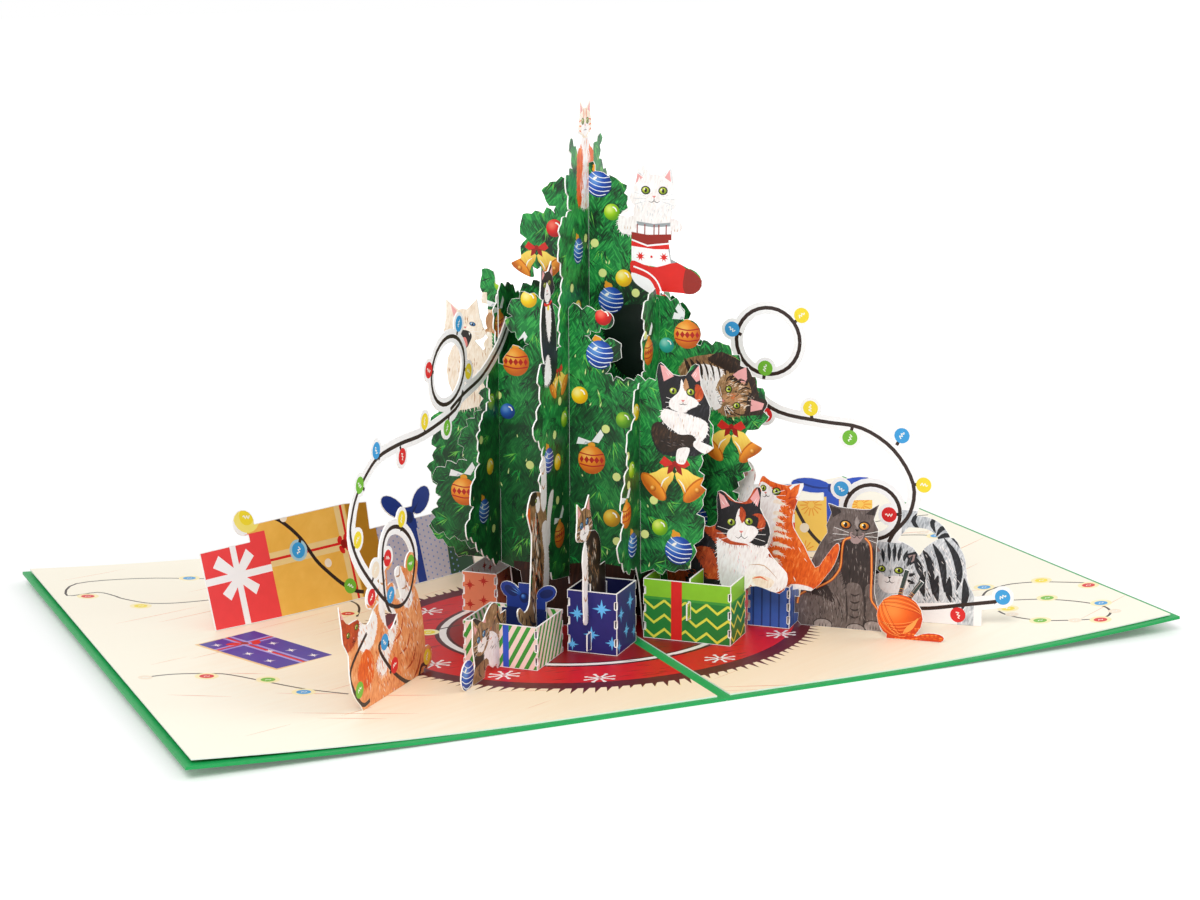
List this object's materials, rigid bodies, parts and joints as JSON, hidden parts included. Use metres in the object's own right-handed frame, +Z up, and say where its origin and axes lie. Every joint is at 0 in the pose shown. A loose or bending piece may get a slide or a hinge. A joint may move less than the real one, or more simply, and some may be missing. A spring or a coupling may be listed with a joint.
{
  "type": "pop up card",
  "caption": "Pop-up Christmas card standing open: slotted paper tree with cats and ornaments, paper gift boxes, gift panels and light strings on a folded cover.",
  "frame": {"origin": "under the middle of the opened card, on the table", "axes": "+X across both wings to the right, +Y from the front edge to the back, +Z up"},
  "size_m": [0.3048, 0.203, 0.1585],
  "materials": {
    "cover_board": "matt green coated card",
    "liner_print": "printed white card, satin",
    "foliage_print": "printed white card, satin",
    "figure_print": "printed white card, satin",
    "yarn_print": "printed white card, satin",
    "bow_print": "printed white card, satin",
    "string_print": "printed white card, satin",
    "striped_box_print": "printed white card, satin",
    "star_box_print": "printed white card, satin",
    "zigzag_box_print": "printed white card, satin",
    "ribbed_box_print": "printed white card, satin",
    "snowflake_box_print": "printed white card, satin",
    "panel_print": "printed white card, satin"
  },
  "bodies": {
    "root": {"outer_cover": "cover_board", "left_liner": "liner_print", "right_liner": "liner_print", "tree_u_centre": "foliage_print", "tree_u_front": "foliage_print", "tree_u_back": "foliage_print", "tree_v_centre": "foliage_print", "tree_v_left": "foliage_print", "tree_v_right": "foliage_print", "lying_cat": "figure_print", "reaching_cat": "figure_print", "sitting_cat": "figure_print", "star_box_kitten": "figure_print", "bauble_kitten": "figure_print", "zigzag_box_brace": "zigzag_box_print", "striped_box_bow": "bow_print", "yarn_ball": "yarn_print", "left_light_string": "string_print", "right_light_string": "string_print", "striped_box": "striped_box_print", "star_box": "star_box_print", "zigzag_box": "zigzag_box_print", "ribbed_box": "ribbed_box_print", "snowflake_box": "snowflake_box_print", "left_gift_panel": "panel_print", "right_gift_panel": "panel_print"}
  },
  "joints": []
}
